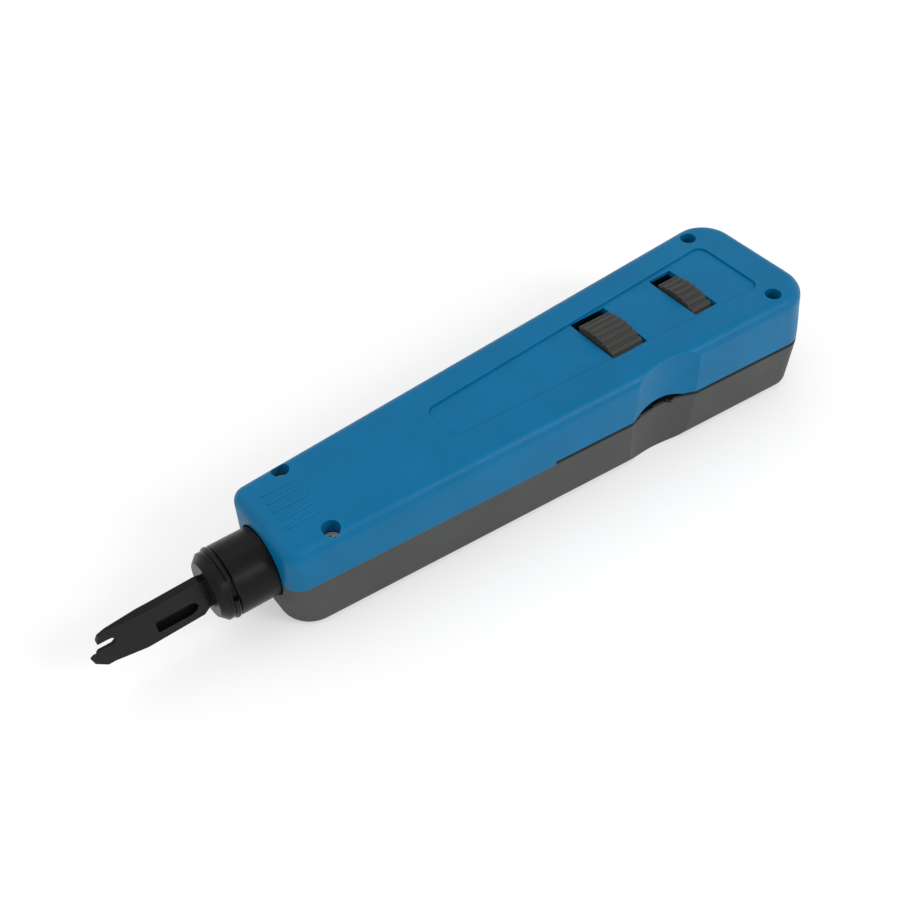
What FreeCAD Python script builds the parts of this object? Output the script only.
import FreeCAD, Part
import os
import Sketcher

# A spring-loaded punch down tool for telephone and network wiring.
# Every sub-part is drawn in the case frame: X runs back from the case's front
# face, Y = 0 is the middle plane, and Z = 0 is the underside.  Round inner
# pieces are drawn about the X axis and then lifted onto the plunger's axis.
# The whole tool is finally shifted so that its middle stands on the origin.

Vector = FreeCAD.Vector
Rotation = FreeCAD.Rotation

doc = FreeCAD.newDocument("punch_down_tool")
os.makedirs("parts", exist_ok=True)

DRIVING_DIMENSIONS = [
    # overall case
    ("case_length", 141.0),
    ("front_half_width", 11.95),
    ("rear_half_width", 19.0),
    ("front_height", 24.5),
    ("rear_height", 29.3),
    ("seam_height", 13.65),
    ("axis_height", 13.6),
    ("side_wall", 2.2),
    ("floor_wall", 2.2),
    ("roof_wall", 1.9),
    ("rear_wall", 2.4),
    ("upper_draft", 1.0),
    ("lower_draft", 1.6),
    ("top_edge_round", 2.9),
    ("bottom_edge_round", 2.6),
    ("front_corner_round_at_top", 3.0),
    ("front_corner_round_at_seam", 4.2),
    ("front_corner_round_at_bottom", 7.5),
    ("rear_corner_round_at_seam", 5.8),
    ("rear_corner_round_at_top", 8.8),
    ("rear_corner_round_inside", 7.0),
    # recessed panel on the top
    ("panel_front", 44.4),
    ("panel_rear", 130.5),
    ("panel_front_half_width", 5.3),
    ("panel_rear_half_width", 10.0),
    ("panel_depth", 0.45),
    # finger scoop and tool slot on the near side
    ("scoop_middle", 94.6),
    ("scoop_radius", 24.0),
    ("scoop_depth", 1.9),
    ("arch_radius", 18.0),
    ("arch_rise", 2.5),
    ("slot_start", 64.7),
    ("slot_height", 1.0),
    ("tray_inner", 7.8),
    ("shelf_thickness", 1.3),
    # case screws
    ("front_screw_x", 11.3),
    ("front_screw_y", 9.7),
    ("rear_screw_x", 130.4),
    ("rear_screw_y", 13.9),
    ("screw_head_radius", 1.8),
    ("screw_head_height", 1.8),
    ("screw_shank_radius", 1.2),
    ("screw_seat_height", 19.6),
    ("screw_end_height", 5.5),
    ("counterbore_radius", 1.97),
    ("boss_radius", 3.0),
    ("spigot_radius", 2.8),
    # plunger and blade; the plunger slides back by up to 8 mm
    ("barrel_radius", 7.7),
    ("barrel_gap", 0.06),
    ("nose_reach", 12.7),
    ("nose_radius", 6.0),
    ("flange_radius", 8.8),
    ("stem_radius", 2.2),
    ("stem_end", 39.9),
    ("blade_reach", 37.6),
    ("blade_half_thickness", 1.0),
    ("blade_recess_depth", 1.3),
    ("cutter_half_thickness", 0.22),
    # hammer, sear and springs
    ("hammer_radius", 6.2),
    ("hammer_front", 36.0),
    ("hammer_rear", 64.0),
    ("sear_shift", 1.0),
    ("trip_ring_radius", 8.6),
    ("running_gap", 0.08),
    # thumb wheels
    ("wheel_axis_height", 15.2),
    ("wheel_stem_radius", 2.0),
    ("journal_radius", 2.6),
    ("axle_radius", 1.8),
    ("wheel_1_front", 87.4),
    ("wheel_1_width", 9.0),
    ("wheel_1_radius", 13.6),
    ("wheel_2_front", 112.1),
    ("wheel_2_width", 5.8),
    ("wheel_2_radius", 14.0),
    ("window_1_front", 86.9),
    ("window_1_length", 10.1),
    ("window_1_half_width", 7.45),
    ("window_2_front", 111.6),
    ("window_2_length", 6.8),
    ("window_2_half_width", 7.92),
    ("hub_radius", 3.8),
    ("rib_depth", 0.42),
    ("wheel_relief_gap", 0.3),
    # fold-out tools
    ("tool_thickness", 0.8),
    ("tool_gap", 0.1),
    ("spudger_pivot_x", 69.5),
    ("spudger_pivot_y", -10.4),
    ("hook_pivot_y", -13.9),
]

dims = doc.addObject("Spreadsheet::Sheet", "dims")
for row, (alias, size) in enumerate(DRIVING_DIMENSIONS, start=1):
    dims.set("A%d" % row, alias)
    dims.set("B%d" % row, str(size))
    dims.setAlias("B%d" % row, alias)
doc.recompute()

TOP_SLOPE = "(dims.rear_height - dims.front_height) / dims.case_length"
ON_AXIS = "dims.axis_height"
ON_WHEEL_AXIS = "dims.wheel_axis_height"
SIDE_SLOPE = "(dims.rear_half_width - dims.front_half_width) / dims.case_length"


def value(size):
    """The number behind a size given as a number or as sheet arithmetic."""
    if isinstance(size, str):
        return float(dims.evalExpression(size))
    return float(size)


def bind(item, path, size):
    """Sets one property from a number or, live, from the sheet."""
    if isinstance(size, str):
        item.setExpression(path, size)
    else:
        item.setExpression(path, repr(float(size)))


def top_at(x):
    return "dims.front_height + (%s) * (%s)" % (x, TOP_SLOPE)


def side_at(x):
    return "dims.front_half_width + (%s) * (%s)" % (x, SIDE_SLOPE)


# ---------------------------------------------------------------- sketches


def origin_plane(body, role):
    return [item for item in body.Origin.OriginFeatures if item.Role == role][0]


def new_body(name):
    return doc.addObject("PartDesign::Body", name)


def new_sketch(body, role, name, lift=0.0):
    """A sketch on one of the body's own planes, lifted along its normal."""
    sketch = body.newObject("Sketcher::SketchObject", name)
    sketch.AttachmentSupport = [(origin_plane(body, role), "")]
    sketch.MapMode = "FlatFace"
    bind(sketch, "AttachmentOffset.Base.z", lift)
    return sketch


def pin_point(sketch, geometry, point, x, y):
    """Holds one point of a sketch at sheet-driven coordinates."""
    for kind, size in (("DistanceX", x), ("DistanceY", y)):
        index = sketch.addConstraint(Sketcher.Constraint(kind, geometry, point, value(size)))
        label = "%s_%d_%d" % (kind, geometry, point)
        sketch.renameConstraint(index, label)
        if isinstance(size, str):
            sketch.setExpression("Constraints." + label, size)


def add_polygon(sketch, corners):
    """A closed outline through the given corners."""
    first = sketch.GeometryCount
    count = len(corners)
    places = [Vector(value(x), value(y), 0) for x, y in corners]
    for i in range(count):
        line = Part.LineSegment(places[i], places[(i + 1) % count])
        sketch.addGeometry(line, False)
    for i in range(count):
        following = first + (i + 1) % count
        sketch.addConstraint(Sketcher.Constraint("Coincident", first + i, 2, following, 1))
    for i, (x, y) in enumerate(corners):
        pin_point(sketch, first + i, 1, x, y)


def add_circle(sketch, x, y, radius):
    circle = Part.Circle(Vector(value(x), value(y), 0), Vector(0, 0, 1), value(radius))
    geometry = sketch.addGeometry(circle, False)
    pin_point(sketch, geometry, 3, x, y)
    index = sketch.addConstraint(Sketcher.Constraint("Radius", geometry, value(radius)))
    label = "Radius_%d" % geometry
    sketch.renameConstraint(index, label)
    if isinstance(radius, str):
        sketch.setExpression("Constraints." + label, radius)


# ---------------------------------------------------------------- features


def pad(body, sketch, length, symmetric=False):
    feature = body.newObject("PartDesign::Pad", sketch.Name + "_pad")
    feature.Profile = sketch
    feature.SideType = "Symmetric" if symmetric else "One side"
    bind(feature, "Length", length)
    doc.recompute()
    return feature


def pocket(body, sketch, length, symmetric=True):
    """Cuts the sketch out of the body; complains if nothing was removed."""
    before = body.Shape.Volume
    feature = body.newObject("PartDesign::Pocket", sketch.Name + "_pocket")
    feature.Profile = sketch
    feature.SideType = "Symmetric" if symmetric else "One side"
    bind(feature, "Length", length)
    doc.recompute()
    if body.Shape.Volume > before - 1e-4:
        raise RuntimeError("%s cuts nothing" % feature.Name)
    return feature


def round_edges(body, name, radius, chooses):
    """Fillets every edge of the body that the test picks."""
    base = body.Tip
    names = []
    for number, edge in enumerate(base.Shape.Edges, start=1):
        if chooses(edge):
            names.append("Edge%d" % number)
    fillet = body.newObject("PartDesign::Fillet", name)
    fillet.Base = (base, names)
    bind(fillet, "Radius", radius)
    doc.recompute()
    return fillet


def lathe(name, profile):
    """A solid of revolution about the X axis from (x, radius) corners."""
    body = new_body(name)
    sketch = new_sketch(body, "XZ_Plane", name + "_profile")
    add_polygon(sketch, profile)
    turn = body.newObject("PartDesign::Revolution", name + "_turn")
    turn.Profile = sketch
    turn.ReferenceAxis = (sketch, ["H_Axis"])
    turn.Angle = 360
    doc.recompute()
    return body


def ring_profile(start, end, inner, outer):
    return [(start, inner), (end, inner), (end, outer), (start, outer)]


def rod_profile(start, end, radius):
    return ring_profile(start, end, 0.0, radius)


def plate(name, outline, thickness, lift, holes=()):
    """A flat piece lying level, with round holes given as (x, y, radius)."""
    body = new_body(name)
    sketch = new_sketch(body, "XY_Plane", name + "_outline", lift)
    add_polygon(sketch, outline)
    pad(body, sketch, thickness)
    for number, (x, y, radius) in enumerate(holes, start=1):
        hole = new_sketch(body, "XY_Plane", "%s_hole_%d" % (name, number), lift)
        add_circle(hole, x, y, radius)
        pocket(body, hole, "4 * (%s)" % thickness)
    return body


def block(name, low, high):
    """A box between two opposite corners."""
    box = doc.addObject("Part::Box", name)
    for axis, size, start, end in zip("xyz", ("Length", "Width", "Height"), low, high):
        bind(box, size, "(%s) - (%s)" % (end, start))
        bind(box, "Placement.Base." + axis, start)
    return box


def post(name, x, y, bottom, top, radius):
    """An upright cylinder."""
    cylinder = doc.addObject("Part::Cylinder", name)
    bind(cylinder, "Radius", radius)
    bind(cylinder, "Height", "(%s) - (%s)" % (top, bottom))
    bind(cylinder, "Placement.Base.x", x)
    bind(cylinder, "Placement.Base.y", y)
    bind(cylinder, "Placement.Base.z", bottom)
    return cylinder


def bore(name, start, end, radius, height="dims.axis_height"):
    """A cylinder along X on the plunger's axis, used to cut a bore."""
    cylinder = doc.addObject("Part::Cylinder", name)
    cylinder.Placement = FreeCAD.Placement(Vector(0, 0, 0), Rotation(Vector(0, 1, 0), 90))
    bind(cylinder, "Radius", radius)
    bind(cylinder, "Height", "(%s) - (%s)" % (end, start))
    bind(cylinder, "Placement.Base.x", start)
    bind(cylinder, "Placement.Base.z", height)
    return cylinder


def fuse(name, shapes):
    union = doc.addObject("Part::MultiFuse", name)
    union.Shapes = shapes
    return union


def cut(name, base, tools):
    """Base minus all the tools."""
    result = doc.addObject("Part::Cut", name)
    result.Base = base
    result.Tool = tools[0] if len(tools) == 1 else fuse(name + "_tools", tools)
    doc.recompute()
    if result.Shape.Volume > base.Shape.Volume - 1e-4:
        raise RuntimeError("%s cuts nothing" % name)
    return result


def within(name, shapes, limit):
    """The part of the shapes that lies inside a limiting solid."""
    result = doc.addObject("Part::Common", name)
    result.Base = shapes[0] if len(shapes) == 1 else fuse(name + "_parts", shapes)
    result.Tool = limit
    doc.recompute()
    return result


def spring(name, start, length, mean_radius, wire_radius, turns):
    """A round-wire compression spring along X with its first turn at start."""
    coil = doc.addObject("Part::Helix", name + "_coil")
    coil.SegmentLength = 1
    bind(coil, "Radius", mean_radius)
    bind(coil, "Height", "(%s) - 2 * (%s)" % (length, wire_radius))
    bind(coil, "Pitch", "((%s) - 2 * (%s)) / (%s)" % (length, wire_radius, turns))
    wire = doc.addObject("Part::Circle", name + "_wire")
    wire.Placement = FreeCAD.Placement(Vector(0, 0, 0), Rotation(Vector(1, 0, 0), 90))
    bind(wire, "Radius", wire_radius)
    bind(wire, "Placement.Base.x", mean_radius)
    sweep = doc.addObject("Part::Sweep", name + "_sweep")
    sweep.Sections = [wire]
    doc.recompute()
    spans = ["Edge%d" % number for number in range(1, len(coil.Shape.Edges) + 1)]
    sweep.Spine = (coil, spans)
    sweep.Solid = True
    sweep.Frenet = True
    return sweep


# ---------------------------------------------------------------- finishing

NODES = []


def finish(item, node, height=0.0, turn=None, x=0.0):
    """Names a finished sub-part and moves it from the case frame to its place."""
    item.Label = node
    if turn is not None:
        item.Placement = FreeCAD.Placement(Vector(0, 0, 0), turn)
    bind(item, "Placement.Base.x", "(dims.blade_reach - dims.case_length) / 2 + (%s)" % x)
    bind(item, "Placement.Base.z", height)
    NODES.append(item)
    return item


# ---------------------------------------------------------------- case blanks

CASE_PLAN = [
    (0.0, "-dims.front_half_width"),
    ("dims.case_length", "-dims.rear_half_width"),
    ("dims.case_length", "dims.rear_half_width"),
    (0.0, "dims.front_half_width"),
]


def is_upright(edge):
    box = edge.BoundBox
    return box.XLength < 1e-3 and box.YLength < 1e-3


def on_top_face(edge):
    """True for the edges all round the sloping top."""
    for point in edge.discretize(5):
        if abs(point.z - value(top_at(repr(point.x)))) > 1e-3:
            return False
    return True


def on_bottom_face(edge):
    return edge.BoundBox.ZMax < 1e-3


def case_blank(name, bottom, height):
    """A solid case half with square upright corners and straight walls."""
    body = new_body(name)
    plan = new_sketch(body, "XY_Plane", name + "_plan", bottom)
    add_polygon(plan, CASE_PLAN)
    pad(body, plan, height)
    return body


def draft_walls(body, name, angle, reversed_pull):
    """Leans the four walls inwards, away from the seam, for mould release."""
    base = body.Tip
    seam = value("dims.seam_height")
    walls = []
    neutral = None
    for number, face in enumerate(base.Shape.Faces, start=1):
        box = face.BoundBox
        if abs(face.normalAt(0, 0).z) < 1e-6:
            walls.append("Face%d" % number)
        elif abs(box.ZMin - seam) < 1e-3 and box.ZLength < 1e-3:
            neutral = "Face%d" % number
    draft = body.newObject("PartDesign::Draft", name)
    draft.Base = (base, walls)
    draft.NeutralPlane = (base, [neutral])
    draft.Reversed = reversed_pull
    bind(draft, "Angle", angle)
    doc.recompute()


def round_solid(name, base, chooses, low_radius, high_radius):
    """Fillets the chosen edges of any solid; the radius may grow from foot to head."""
    edges = []
    for number, edge in enumerate(base.Shape.Edges, start=1):
        if chooses(edge):
            rises = edge.valueAt(edge.FirstParameter).z <= edge.valueAt(edge.LastParameter).z
            first, last = (low_radius, high_radius) if rises else (high_radius, low_radius)
            edges.append((number, value(first), value(last)))
    fillet = doc.addObject("Part::Fillet", name)
    fillet.Base = base
    fillet.Edges = edges
    doc.recompute()
    return fillet


def near_upright(edge):
    """True for the corner edges, which lean a little because of the draft."""
    box = edge.BoundBox
    return box.ZLength > 5.0 and box.XLength < 2.0 and box.YLength < 2.0


def is_front_corner(edge):
    return near_upright(edge) and edge.BoundBox.XMax < 3.0


def is_rear_corner(edge):
    return near_upright(edge) and edge.BoundBox.XMax > value("dims.case_length") - 3.0


# The shallow finger scoop down the near side is cut by an upright cylinder.
scoop_y = "-(%s) + dims.scoop_depth - dims.scoop_radius" % side_at("dims.scoop_middle")


def rounded_half(name, body, face_edges, face_radius, front_radii, rear_radii):
    """Rounds one case half and cuts its share of the finger scoop."""
    fronted = round_solid(name + "_fronted", body, is_front_corner, *front_radii)
    cornered = round_solid(name + "_cornered", fronted, is_rear_corner, *rear_radii)
    rounded = round_solid(name + "_rounded", cornered, face_edges, face_radius, face_radius)
    scoop = post(name + "_scoop", "dims.scoop_middle", scoop_y, -1.0, 40.0, "dims.scoop_radius")
    return cut(name + "_scooped", rounded, [scoop])


def above_slope(body, name, drop, direction):
    """Trims a body to one side of a plane parallel to the sloping top."""
    limit = 60.0 if direction > 0 else -10.0
    sketch = new_sketch(body, "XZ_Plane", name)
    start = -10.0
    end = "dims.case_length + 10"
    corners = [
        (start, "%s - (%s)" % (top_at(repr(start)), drop)),
        (end, "%s - (%s)" % (top_at(end), drop)),
        (end, limit),
        (start, limit),
    ]
    add_polygon(sketch, corners)
    pocket(body, sketch, 100.0)


upper_body = case_blank("upper_body", "dims.seam_height", 30.0)
above_slope(upper_body, "upper_top_slope", 0.0, 1)
draft_walls(upper_body, "upper_draft", "dims.upper_draft", False)
upper_blank = rounded_half(
    "upper",
    upper_body,
    on_top_face,
    "dims.top_edge_round",
    ("dims.front_corner_round_at_seam", "dims.front_corner_round_at_top"),
    ("dims.rear_corner_round_at_seam", "dims.rear_corner_round_at_top"),
)

lower_body = case_blank("lower_body", 0.0, "dims.seam_height")
draft_walls(lower_body, "lower_draft", "dims.lower_draft", True)
lower_blank = rounded_half(
    "lower",
    lower_body,
    on_bottom_face,
    "dims.bottom_edge_round",
    ("dims.front_corner_round_at_bottom", "dims.front_corner_round_at_seam"),
    ("dims.rear_corner_round_at_seam", "dims.rear_corner_round_at_seam"),
)

# ---------------------------------------------------------------- case hollow

# Each chamber is the space between two cross walls, as (start, end).
CHAMBERS = [
    (14.0, 44.0),
    (52.0, 58.0),
    (62.0, 80.5),
    (85.5, 98.0),
    (101.0, 106.0),
    (108.0, 121.5),
    (123.5, "dims.case_length - dims.rear_wall"),
]


def chamber_corners(start, end):
    inner_start = "%s - dims.side_wall" % side_at(str(start))
    inner_end = "%s - dims.side_wall" % side_at(str(end))
    return [
        (start, "-(%s)" % inner_start),
        (end, "-(%s)" % inner_end),
        (end, inner_end),
        (start, inner_start),
    ]


def is_hollow_rear(edge):
    inner_end = value("dims.case_length - dims.rear_wall")
    return is_upright(edge) and edge.BoundBox.XMax > inner_end - 0.5


hollow = new_body("hollow")
hollow_plan = new_sketch(hollow, "XY_Plane", "hollow_plan", "dims.floor_wall")
for chamber_start, chamber_end in CHAMBERS:
    add_polygon(hollow_plan, chamber_corners(chamber_start, chamber_end))
pad(hollow, hollow_plan, 40.0)
above_slope(hollow, "hollow_roof", "dims.roof_wall", 1)
round_edges(hollow, "hollow_rear_corners", "dims.rear_corner_round_inside", is_hollow_rear)

# ---------------------------------------------------------------- case cuts


# Bearings on the wheels' axis as (name, first x, last x, bore radius).
WHEEL_BEARINGS = [
    ("journal", 97.0, 102.0, "dims.journal_radius + 0.06"),
    ("axle_front", 105.8, 108.5, "dims.axle_radius + 0.02"),
    ("axle_rear", 121.0, 123.9, "dims.axle_radius + 0.02"),
]


def case_bores(prefix):
    """Bores along the two axes, shared by both case halves."""
    bores = [
        bore(prefix + "_mouth", -1.0, 16.0, "dims.barrel_radius + 0.35"),
        bore(prefix + "_bushing_seat", 1.5, 8.55, "dims.barrel_radius + 1.75"),
        bore(prefix + "_trip_seat", 43.0, 53.0, "dims.trip_ring_radius + 0.05"),
        bore(prefix + "_hammer_guide", 57.0, 63.0, "dims.hammer_radius + dims.running_gap"),
        bore(prefix + "_seat_guide", 80.0, 86.0, "dims.hammer_radius + dims.running_gap"),
    ]
    for name, start, end, radius in WHEEL_BEARINGS:
        bores.append(bore("%s_%s" % (prefix, name), start, end, radius, ON_WHEEL_AXIS))
    return bores


def closing_slots():
    """Open the upper half's bearings down to the seam, so that it closes over the shafts."""
    return [
        block(
            name + "_slot",
            (start, "-(%s)" % radius, "dims.seam_height - 0.5"),
            (end, radius, ON_WHEEL_AXIS),
        )
        for name, start, end, radius in WHEEL_BEARINGS
    ]



SCREWS = [
    ("dims.front_screw_x", "dims.front_screw_y"),
    ("dims.front_screw_x", "-dims.front_screw_y"),
    ("dims.rear_screw_x", "dims.rear_screw_y"),
    ("dims.rear_screw_x", "-dims.rear_screw_y"),
]
REAR_SCREWS = SCREWS[2:]


def wheel_relief(name, front, width, radius):
    """Room for a thumb wheel's rim to turn under the roof, on both sides of its window."""
    sector = bore(name, "%s - 0.5" % front, "%s + %s + 0.5" % (front, width), radius)
    sector.Angle = 114.0
    sector.Placement = FreeCAD.Placement(
        Vector(0, 0, 0), Rotation(Vector(1, 0, 0), 129.0) * Rotation(Vector(0, 1, 0), 90)
    )
    bind(sector, "Placement.Base.x", "%s - 0.5" % front)
    bind(sector, "Placement.Base.z", ON_WHEEL_AXIS)
    return sector


def window(name, number):
    prefix = "dims.window_%d_" % number
    half_width = prefix + "half_width"
    front = prefix + "front"
    return block(
        name,
        (front, "-" + half_width, 20.0),
        ("%s + %slength" % (front, prefix), half_width, 40.0),
    )


# The long shallow panel that holds both thumb-wheel windows.
panel = new_body("panel")
panel_plan = new_sketch(panel, "XY_Plane", "panel_plan", 15.0)
add_polygon(
    panel_plan,
    [
        ("dims.panel_front", "-dims.panel_front_half_width"),
        ("dims.panel_rear", "-dims.panel_rear_half_width"),
        ("dims.panel_rear", "dims.panel_rear_half_width"),
        ("dims.panel_front", "dims.panel_front_half_width"),
    ],
)
pad(panel, panel_plan, 25.0)
above_slope(panel, "panel_floor", "dims.panel_depth", -1)
round_edges(panel, "panel_corners", 2.5, is_upright)

# Slot that the fold-out tools swing through, and the thumb arch over their tips.
slot_top = "dims.seam_height + dims.slot_height"
tool_slot = block(
    "tool_slot",
    ("dims.slot_start", -24.0, "dims.seam_height - 0.5"),
    ("dims.case_length + 4", "-dims.tray_inner", slot_top),
)
arch = doc.addObject("Part::Cylinder", "arch")
arch.Placement = FreeCAD.Placement(Vector(0, 0, 0), Rotation(Vector(1, 0, 0), 90))
bind(arch, "Radius", "dims.arch_radius")
bind(arch, "Height", 12.0)
bind(arch, "Placement.Base.x", "dims.scoop_middle")
bind(arch, "Placement.Base.y", -11.5)
bind(arch, "Placement.Base.z", "dims.seam_height + dims.arch_rise - dims.arch_radius")

upper_bosses = []
upper_drills = []
for number, (screw_x, screw_y) in enumerate(SCREWS, start=1):
    seat_height = "dims.screw_seat_height"
    upper_drills.append(
        post("counterbore_%d" % number, screw_x, screw_y, seat_height, 40.0, "dims.counterbore_radius")
    )
    upper_drills.append(
        post("clearance_%d" % number, screw_x, screw_y, 10.0, 20.0, "dims.screw_shank_radius + 0.12")
    )
for number, (screw_x, screw_y) in enumerate(REAR_SCREWS, start=1):
    roof = "%s - 1" % top_at(screw_x)
    upper_bosses.append(
        post("upper_boss_%d" % number, screw_x, screw_y, "dims.seam_height", roof, "dims.boss_radius")
    )

def scoop_backing(name, bottom, top):
    """Thickens the near wall from inside where the scoop thins it."""
    return block(name, (85.6, -14.6, bottom), (103.4, -13.0, top))


upper_backing = scoop_backing("upper_backing", "dims.seam_height", 26.0)
upper_hollowed = cut("upper_hollowed", upper_blank, [hollow])
upper_posts = within("upper_posts", upper_bosses, upper_blank)
upper_ribbed = fuse("upper_ribbed", [upper_hollowed, upper_posts, upper_backing])
doc.recompute()
upper_shell = cut(
    "upper_shell",
    upper_ribbed,
    case_bores("upper")
    + closing_slots()
    + upper_drills
    + [
        wheel_relief(
            "relief_1",
            "dims.wheel_1_front",
            "dims.wheel_1_width",
            "dims.wheel_1_radius + dims.wheel_relief_gap",
        ),
        wheel_relief(
            "relief_2",
            "dims.wheel_2_front",
            "dims.wheel_2_width",
            "dims.wheel_2_radius + dims.wheel_relief_gap",
        ),
        window("window_1", 1),
        window("window_2", 2),
        panel,
        tool_slot,
        arch,
    ],
)
finish(upper_shell, "upper_shell")

# ---------------------------------------------------------------- lower half

shelf_wall_start = side_at("62.0")
shelf_wall_end = side_at("131.0")
shelf = plate(
    "shelf",
    [
        (61.0, "-dims.tray_inner"),
        (61.0, "2 - (%s)" % shelf_wall_start),
        (131.0, "2 - (%s)" % shelf_wall_end),
        (135.0, -15.4),
        (139.0, -11.5),
        (139.0, "-dims.tray_inner"),
    ],
    "dims.shelf_thickness",
    "dims.seam_height - dims.shelf_thickness",
)

lower_bosses = []
lower_drills = []
for number, (screw_x, screw_y) in enumerate(REAR_SCREWS, start=1):
    lower_bosses.append(
        post("lower_boss_%d" % number, screw_x, screw_y, 1.0, "dims.seam_height", "dims.boss_radius")
    )
spigot = post(
    "spigot",
    "dims.rear_screw_x",
    "dims.hook_pivot_y",
    "dims.seam_height - 4",
    "dims.seam_height + dims.slot_height",
    "dims.spigot_radius",
)
for number, (screw_x, screw_y) in enumerate(SCREWS, start=1):
    lower_drills.append(
        post("thread_%d" % number, screw_x, screw_y, 5.0, 20.0, "dims.screw_shank_radius + 0.02")
    )
spudger_pin_hole = post(
    "spudger_pin_hole", "dims.spudger_pivot_x", "dims.spudger_pivot_y", 8.0, 18.0, 1.42
)

# A notch in the shelf behind the scoop lets a fingernail under the tool tips.
nail_block = block(
    "nail_block",
    (86.4, -17.0, "dims.seam_height - 2.4"),
    (102.8, "-dims.tray_inner - 0.5", "dims.seam_height + 1"),
)
nail_lip = post("nail_lip", "dims.scoop_middle", scoop_y, 0.0, 40.0, "dims.scoop_radius + 0.7")
nail_notch = cut("nail_notch", nail_block, [nail_lip])

lower_backing = scoop_backing("lower_backing", "dims.floor_wall - 0.2", "dims.seam_height")
lower_hollowed = cut("lower_hollowed", lower_blank, [hollow])
lower_posts = within("lower_posts", lower_bosses, lower_blank)
lower_ribbed = fuse("lower_ribbed", [lower_hollowed, shelf, spigot, lower_posts, lower_backing])
doc.recompute()
lower_shell = cut(
    "lower_shell",
    lower_ribbed,
    case_bores("lower") + lower_drills + [spudger_pin_hole, nail_notch],
)
finish(lower_shell, "lower_shell")

# ---------------------------------------------------------------- screws

screw_solids = []
seat = "dims.screw_seat_height"
head_top = "dims.screw_seat_height + dims.screw_head_height"
for number, (screw_x, screw_y) in enumerate(SCREWS, start=1):
    name = "screw_%d" % number
    place = (screw_x, screw_y)
    head = post(name + "_head", *place, seat, head_top, "dims.screw_head_radius")
    shank = post(name + "_shank", *place, "dims.screw_end_height", seat, "dims.screw_shank_radius")
    recess_floor = "%s - 0.9" % head_top
    recess = [
        block(
            "%s_recess_%s" % (name, way),
            ("%s - %s" % (screw_x, half_x), "%s - %s" % (screw_y, half_y), recess_floor),
            ("%s + %s" % (screw_x, half_x), "%s + %s" % (screw_y, half_y), "%s + 1" % head_top),
        )
        for way, half_x, half_y in (("x", 1.1, 0.25), ("y", 0.25, 1.1))
    ]
    whole = fuse(name + "_whole", [head, shank])
    doc.recompute()
    screw_solids.append(cut(name, whole, recess))
case_screws = doc.addObject("Part::Compound", "case_screws")
case_screws.Links = screw_solids
finish(case_screws, "case_screws")

# ---------------------------------------------------------------- plunger

holder = lathe(
    "holder",
    [
        ("-dims.nose_reach", 0.0),
        ("-dims.nose_reach", "dims.nose_radius"),
        (-11.3, 7.4),
        (-10.15, 7.4),
        (-10.15, 6.6),
        (-8.75, 6.6),
        (-8.75, 7.45),
        (-8.5, "dims.barrel_radius"),
        (16.0, "dims.barrel_radius"),
        (16.0, "dims.flange_radius"),
        (18.5, "dims.flange_radius"),
        (18.5, "dims.stem_radius"),
        ("dims.stem_end", "dims.stem_radius"),
        ("dims.stem_end", 0.0),
    ],
)
socket_half_height = 4.2
socket_floor = -2.6
blade_socket = new_sketch(holder, "XY_Plane", "blade_socket")
add_polygon(
    blade_socket,
    [
        ("-dims.nose_reach - 1", "-dims.blade_half_thickness - 0.1"),
        (socket_floor, "-dims.blade_half_thickness - 0.1"),
        (socket_floor, "dims.blade_half_thickness + 0.1"),
        ("-dims.nose_reach - 1", "dims.blade_half_thickness + 0.1"),
    ],
)
pocket(holder, blade_socket, 2 * socket_half_height)
detent_bore = new_sketch(holder, "XZ_Plane", "detent_bore")
add_circle(detent_bore, -9.45, 0.0, 1.25)
pocket(holder, detent_bore, 12.0, symmetric=False)
finish(holder, "blade_holder", ON_AXIS)

# The retaining pin presses on the blade's far face under the split wire ring.
detent_pin = new_body("detent_pin")
pin_profile = new_sketch(detent_pin, "XY_Plane", "pin_profile")
add_polygon(
    pin_profile,
    [
        (-9.45, "dims.blade_half_thickness + 0.05"),
        (-8.95, "dims.blade_half_thickness + 0.05"),
        (-8.25, "dims.blade_half_thickness + 0.75"),
        (-8.25, 6.6),
        (-9.45, 6.6),
    ],
)
pin_turn = detent_pin.newObject("PartDesign::Revolution", "pin_turn")
pin_turn.Profile = pin_profile
pin_axis = new_sketch(detent_pin, "XY_Plane", "pin_axis")
pin_axis.addGeometry(Part.LineSegment(Vector(-9.45, 0, 0), Vector(-9.45, 8, 0)), False)
pin_point(pin_axis, 0, 1, -9.45, 0.0)
pin_point(pin_axis, 0, 2, -9.45, 8.0)
pin_turn.ReferenceAxis = (pin_axis, ["Edge1"])
pin_turn.Angle = 360
doc.recompute()
finish(detent_pin, "detent_pin", ON_AXIS)

# The split wire ring that holds the retaining pin down; its gap faces near and low.
detent_ring = doc.addObject("Part::Torus", "detent_ring_wire")
detent_ring.Radius1 = 7.25
detent_ring.Radius2 = 0.6
detent_ring.Angle3 = 325.0
ring_turn = Rotation(Vector(1, 0, 0), 256.0) * Rotation(Vector(0, 1, 0), 90)
finish(detent_ring, "detent_ring", ON_AXIS, ring_turn, -9.45)

front_bushing = lathe(
    "bushing",
    ring_profile(1.55, 8.5, "dims.barrel_radius + dims.barrel_gap", "dims.barrel_radius + 1.7"),
)
finish(front_bushing, "front_bushing", ON_AXIS)

bumper_ring = lathe("bumper", ring_profile(14.0, 16.0, "dims.barrel_radius + 0.4", "dims.flange_radius"))
finish(bumper_ring, "bumper_ring", ON_AXIS)

# ---------------------------------------------------------------- blade

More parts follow.
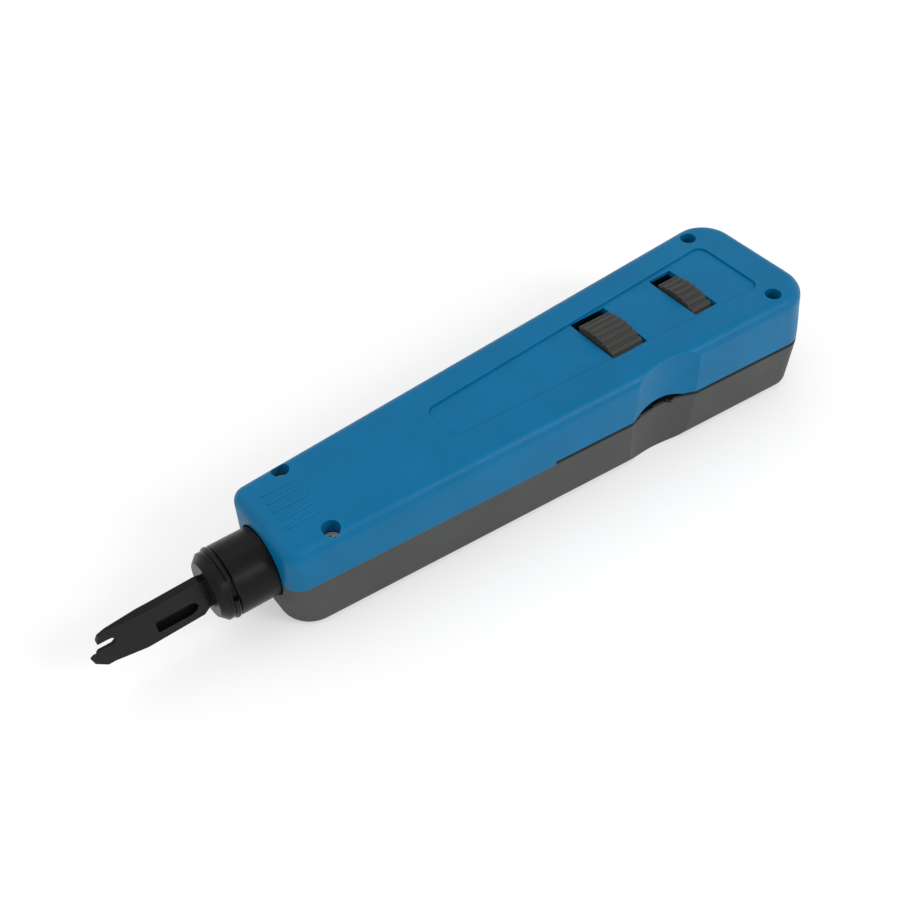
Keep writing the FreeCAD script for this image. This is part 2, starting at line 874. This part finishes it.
blade = new_body("blade")
blade_side = new_sketch(blade, "XZ_Plane", "blade_side")
add_polygon(
    blade_side,
    [
        (-3.0, -4.05),
        (-12.9, -4.05),
        (-14.4, -5.5),
        (-27.0, -6.1),
        (-34.4, -5.5),
        (-36.2, -3.9),
        (-36.2, -1.3),
        (-35.7, -0.8),
        (-32.8, -0.8),
        (-32.0, -0.2),
        (-32.0, 0.8),
        (-32.8, 1.4),
        (-35.6, 1.4),
        (-35.6, 2.2),
        (-35.0, 3.3),
        (-33.4, 3.9),
        (-24.0, 4.0),
        (-14.2, 4.4),
        (-12.9, 4.05),
        (-3.0, 4.05),
    ],
)
pad(blade, blade_side, "2 * dims.blade_half_thickness", symmetric=True)
blade_recess = new_sketch(blade, "XZ_Plane", "blade_recess", "dims.blade_half_thickness + 1")
add_polygon(
    blade_recess,
    [
        (-24.2, -3.4),
        (-23.8, -3.65),
        (-17.0, -3.65),
        (-15.7, -3.1),
        (-15.1, -1.9),
        (-15.7, -0.7),
        (-17.0, -0.15),
        (-24.0, -0.15),
        (-24.3, -0.4),
    ],
)
pocket(blade, blade_recess, "1 + dims.blade_recess_depth", symmetric=False)
# Both faces are ground thinner towards the tip.
blade_bevel = new_sketch(blade, "XY_Plane", "blade_bevel")
for side in ("", "-"):
    add_polygon(
        blade_bevel,
        [
            (-26.5, "%s(dims.blade_half_thickness + 0.01)" % side),
            (-33.5, "%s(dims.cutter_half_thickness + 0.22)" % side),
            (-40.0, "%s(dims.cutter_half_thickness + 0.22)" % side),
            (-40.0, "%s3.0" % side),
            (-26.5, "%s3.0" % side),
        ],
    )
pocket(blade, blade_bevel, 20.0)
cutter_seat = block(
    "cutter_seat",
    (-40.0, "-dims.cutter_half_thickness", -7.0),
    (-31.0, "dims.cutter_half_thickness", -1.35),
)
blade_slotted = cut("blade_slotted", blade, [cutter_seat])
finish(blade_slotted, "blade_body", ON_AXIS)

cutter = new_body("cutter")
cutter_side = new_sketch(cutter, "XZ_Plane", "cutter_side")
add_polygon(
    cutter_side,
    [
        (-31.1, -5.9),
        (-34.9, -5.9),
        (-37.1, -3.8),
        ("-dims.blade_reach", -1.9),
        (-36.9, -1.4),
        (-31.1, -1.4),
    ],
)
pad(cutter, cutter_side, "2 * dims.cutter_half_thickness - 0.02", symmetric=True)
finish(cutter, "blade_cutter", ON_AXIS)

# ---------------------------------------------------------------- impact train

hammer = lathe(
    "hammer",
    [
        ("dims.hammer_front", 2.6),
        (54.0, 2.6),
        (54.0, 0.0),
        ("dims.hammer_rear", 0.0),
        ("dims.hammer_rear", "dims.hammer_radius"),
        ("dims.hammer_front + 1", "dims.hammer_radius"),
        ("dims.hammer_front", "dims.hammer_radius - 1"),
    ],
)
sear_slot = new_sketch(hammer, "XZ_Plane", "sear_slot")
add_polygon(sear_slot, [(40.0, -5.4), (42.2, -5.4), (42.2, 9.0), (40.0, 9.0)])
pocket(hammer, sear_slot, 7.0)
finish(hammer, "hammer", ON_AXIS)

# The sear is a sliding plate: while it stands up it blocks the stem from the
# hammer's bore, and once pressed down its hole lines up and lets the stem in.
sear_box = block("sear_box", (40.1, -3.4, -3.2), (42.1, 3.4, 8.0))
sear_round = bore("sear_round", 39.0, 43.0, "dims.hammer_radius", "dims.sear_shift")
sear_common = within("sear_common", [sear_box], sear_round)
sear = cut("sear_plate", sear_common, [bore("sear_hole", 39.0, 43.0, 2.6, "dims.sear_shift")])
finish(sear, "sear", ON_AXIS)

trip_ring = lathe(
    "trip",
    [
        (44.0, 7.5),
        (50.0, "dims.hammer_radius + dims.running_gap"),
        (52.0, "dims.hammer_radius + dims.running_gap"),
        (52.0, "dims.trip_ring_radius"),
        (44.0, "dims.trip_ring_radius"),
    ],
)
finish(trip_ring, "trip_ring", ON_AXIS)

# The seat's bore lies on the wheels' axis, so the seat can't turn with the screw.
seat_blank = lathe("seat_blank", rod_profile(82.0, 84.6, "dims.hammer_radius"))
seat_bore_height = "dims.wheel_axis_height - dims.axis_height"
spring_seat = cut(
    "seat_bored",
    seat_blank,
    [bore("seat_bore", 81.0, 86.0, "dims.wheel_stem_radius + 0.06", seat_bore_height)],
)
finish(spring_seat, "spring_seat", ON_AXIS)

washer = lathe("washer", ring_profile(96.6, 98.0, "dims.journal_radius + 0.3", 7.0))
finish(washer, "thrust_washer", ON_WHEEL_AXIS)

SPRINGS = [
    # node, first x, length, mean radius, wire radius, turns
    ("return_spring", 18.5, 25.5, 8.0, 0.45, 8.0),
    ("main_spring", "dims.hammer_rear", 18.0, 4.9, 0.7, 5.0),
]
along_x = Rotation(Vector(0, 1, 0), 90)
for node, first, length, mean_radius, wire_radius, turns in SPRINGS:
    coil = spring(node, first, length, mean_radius, wire_radius, turns)
    finish(coil, node, ON_AXIS, along_x, "%s + %s" % (first, wire_radius))

sear_spring = spring("sear_spring", -5.4, 2.2, 0.75, 0.15, 3.0)
finish(sear_spring, "sear_spring", "dims.axis_height - 5.4 + 0.15", Rotation(), 41.1)

# ---------------------------------------------------------------- thumb wheels

FAR_EDGE = 22.0
NEAR_EDGE = -59.0
RIB_PITCH = 8.0


def polar(radius, angle):
    """A point in the wheel's plane; the angle is counted from straight up."""
    turn = "%s" % repr(float(angle))
    return "(%s) * sin(%s deg)" % (radius, turn), "(%s) * cos(%s deg)" % (radius, turn)


def thumb_wheel(name, number):
    """A hub with a ribbed rim segment that shows in its window."""
    front = "dims.wheel_%d_front" % number
    width = "dims.wheel_%d_width" % number
    radius = "dims.wheel_%d_radius" % number
    body = new_body(name)
    face = new_sketch(body, "YZ_Plane", name + "_face", front)
    steps = 10
    span = FAR_EDGE - NEAR_EDGE
    # Corners on the arc stand slightly out so that the chords keep the radius.
    arc = [polar(radius + " + 0.6", NEAR_EDGE + span * i / steps) for i in range(steps + 1)]
    add_polygon(face, arc + [(0.0, 0.0)])
    pad(body, face, width)
    return body, front, width, radius


def rim_cutter(name, number):
    """Everything outside the rim's true radius, and the grooves between ribs."""
    front = "dims.wheel_%d_front - 1" % number
    end = "dims.wheel_%d_front + dims.wheel_%d_width + 1" % (number, number)
    radius = "dims.wheel_%d_radius" % number
    outside = cut(
        name + "_outside",
        bore(name + "_stock", front, end, "%s + 3" % radius, 0.0),
        [bore(name + "_rim", front, end, radius, 0.0)],
    )
    web = cut(
        name + "_web",
        bore(name + "_web_stock", front, end, "%s - 2.2" % radius, 0.0),
        [
            bore(name + "_web_core", front, end, "dims.hub_radius", 0.0),
            block(
                name + "_web_plate",
                ("dims.wheel_%d_front + 2" % number, -20.0, -20.0),
                ("dims.wheel_%d_front + dims.wheel_%d_width - 2" % (number, number), 20.0, 20.0),
            ),
        ],
    )
    grooves = []
    groove_count = int((FAR_EDGE - NEAR_EDGE) / RIB_PITCH)
    for i in range(groove_count + 1):
        angle = FAR_EDGE - RIB_PITCH * (i + 0.5)
        groove = doc.addObject("Part::Cylinder", "%s_groove_%d" % (name, i))
        groove.Placement = FreeCAD.Placement(Vector(0, 0, 0), along_x)
        bind(groove, "Radius", "dims.rib_depth")
        bind(groove, "Height", "%s - (%s)" % (end, front))
        y, z = polar(radius, angle)
        bind(groove, "Placement.Base.x", front)
        bind(groove, "Placement.Base.y", y)
        bind(groove, "Placement.Base.z", z)
        grooves.append(groove)
    return [outside, web] + grooves


def finish_wheel(node, number, additions, bores):
    body, front, width, radius = thumb_wheel(node + "_body", number)
    rimmed = cut(node + "_rimmed", body, rim_cutter(node, number))
    hub = bore(node + "_hub", front, "%s + %s" % (front, width), "dims.hub_radius", 0.0)
    whole = fuse(node + "_whole", [rimmed, hub] + additions)
    doc.recompute()
    return cut(node + "_bored", whole, bores) if bores else whole


force_wheel = finish_wheel(
    "force_wheel",
    1,
    [
        bore("force_stem", 77.0, "dims.wheel_1_front", "dims.wheel_stem_radius", 0.0),
        bore("force_journal", 96.0, 101.5, "dims.journal_radius", 0.0),
    ],
    [],
)
finish(force_wheel, "force_wheel", ON_WHEEL_AXIS)

lock_bore = bore("lock_wheel_bore", 110.0, 120.0, "dims.axle_radius + 0.06", 0.0)
lock_wheel = finish_wheel("lock_wheel", 2, [], [lock_bore])
finish(lock_wheel, "lock_wheel", ON_WHEEL_AXIS)

lock_axle = lathe("lock_axle_rod", rod_profile(106.0, 123.4, "dims.axle_radius"))
finish(lock_axle, "lock_axle", ON_WHEEL_AXIS)

# Flat click springs bear on the hubs from below, held by the cross walls.
CLICK_SPRINGS = [("force_click_spring", 85.5, 96.4), ("lock_click_spring", 108.0, 121.5)]
for node, start, end in CLICK_SPRINGS:
    leaf = block(node + "_leaf", (start, -2.2, 0.0), (end, 2.2, 0.45))
    finish(leaf, node, "%s - dims.hub_radius - 0.5" % ON_WHEEL_AXIS, None, start)

# ---------------------------------------------------------------- fold-out tools

TOOL_FLOOR = "dims.seam_height + dims.tool_gap"

spudger = plate(
    "spudger",
    [
        (67.6, -12.4),
        (70.6, -12.9),
        (90.0, -15.3),
        (93.4, -15.2),
        (94.2, -14.3),
        (93.0, -13.6),
        (88.0, -12.4),
        (72.0, -9.0),
        (70.6, -8.0),
        (68.6, -7.9),
        (67.0, -9.4),
        (66.9, -11.2),
    ],
    "dims.tool_thickness",
    TOOL_FLOOR,
    [("dims.spudger_pivot_x", "dims.spudger_pivot_y", 1.46)],
)
finish(spudger, "spudger_tool")

hook = plate(
    "hook",
    [
        (134.2, -13.9),
        (133.2, -11.2),
        (130.4, -10.1),
        (127.6, -11.2),
        (124.0, -12.0),
        (103.0, -12.2),
        (99.6, -12.6),
        (98.0, -13.6),
        (97.6, -15.0),
        (98.4, -15.9),
        (100.0, -15.6),
        (99.7, -14.6),
        (100.4, -14.1),
        (103.0, -14.1),
        (106.0, -15.6),
        (124.0, -16.6),
        (127.6, -16.8),
        (130.4, -17.7),
        (133.2, -16.6),
    ],
    "dims.tool_thickness",
    TOOL_FLOOR,
    [("dims.rear_screw_x", "dims.hook_pivot_y", "dims.spigot_radius + 0.06")],
)
finish(hook, "hook_tool")

pin_place = ("dims.spudger_pivot_x", "dims.spudger_pivot_y")
tool_top = "%s + dims.tool_thickness" % TOOL_FLOOR
shelf_floor = "dims.seam_height - dims.shelf_thickness"
spudger_pin = fuse(
    "spudger_pin_whole",
    [
        post("pin_foot", *pin_place, "%s - 1" % shelf_floor, shelf_floor, 2.2),
        post("pin_shank", *pin_place, shelf_floor, tool_top, 1.4),
        post("pin_head", *pin_place, "%s + 0.05" % tool_top, "%s + 1" % tool_top, 2.3),
        post("pin_neck", *pin_place, tool_top, "%s + 0.5" % tool_top, 1.4),
    ],
)
finish(spudger_pin, "spudger_pin")

# ---------------------------------------------------------------- export

doc.recompute()
for item in doc.Objects:
    if "Invalid" in item.State or "Error" in item.State:
        raise RuntimeError("%s is %s" % (item.Name, item.State))
for item in NODES:
    if item.Shape.isNull() or not item.Shape.isValid():
        raise RuntimeError("%s has no valid shape" % item.Label)
    item.Shape.exportStep("parts/%s.step" % item.Label)
    print(item.Label, round(item.Shape.Volume, 2), len(item.Shape.Solids))
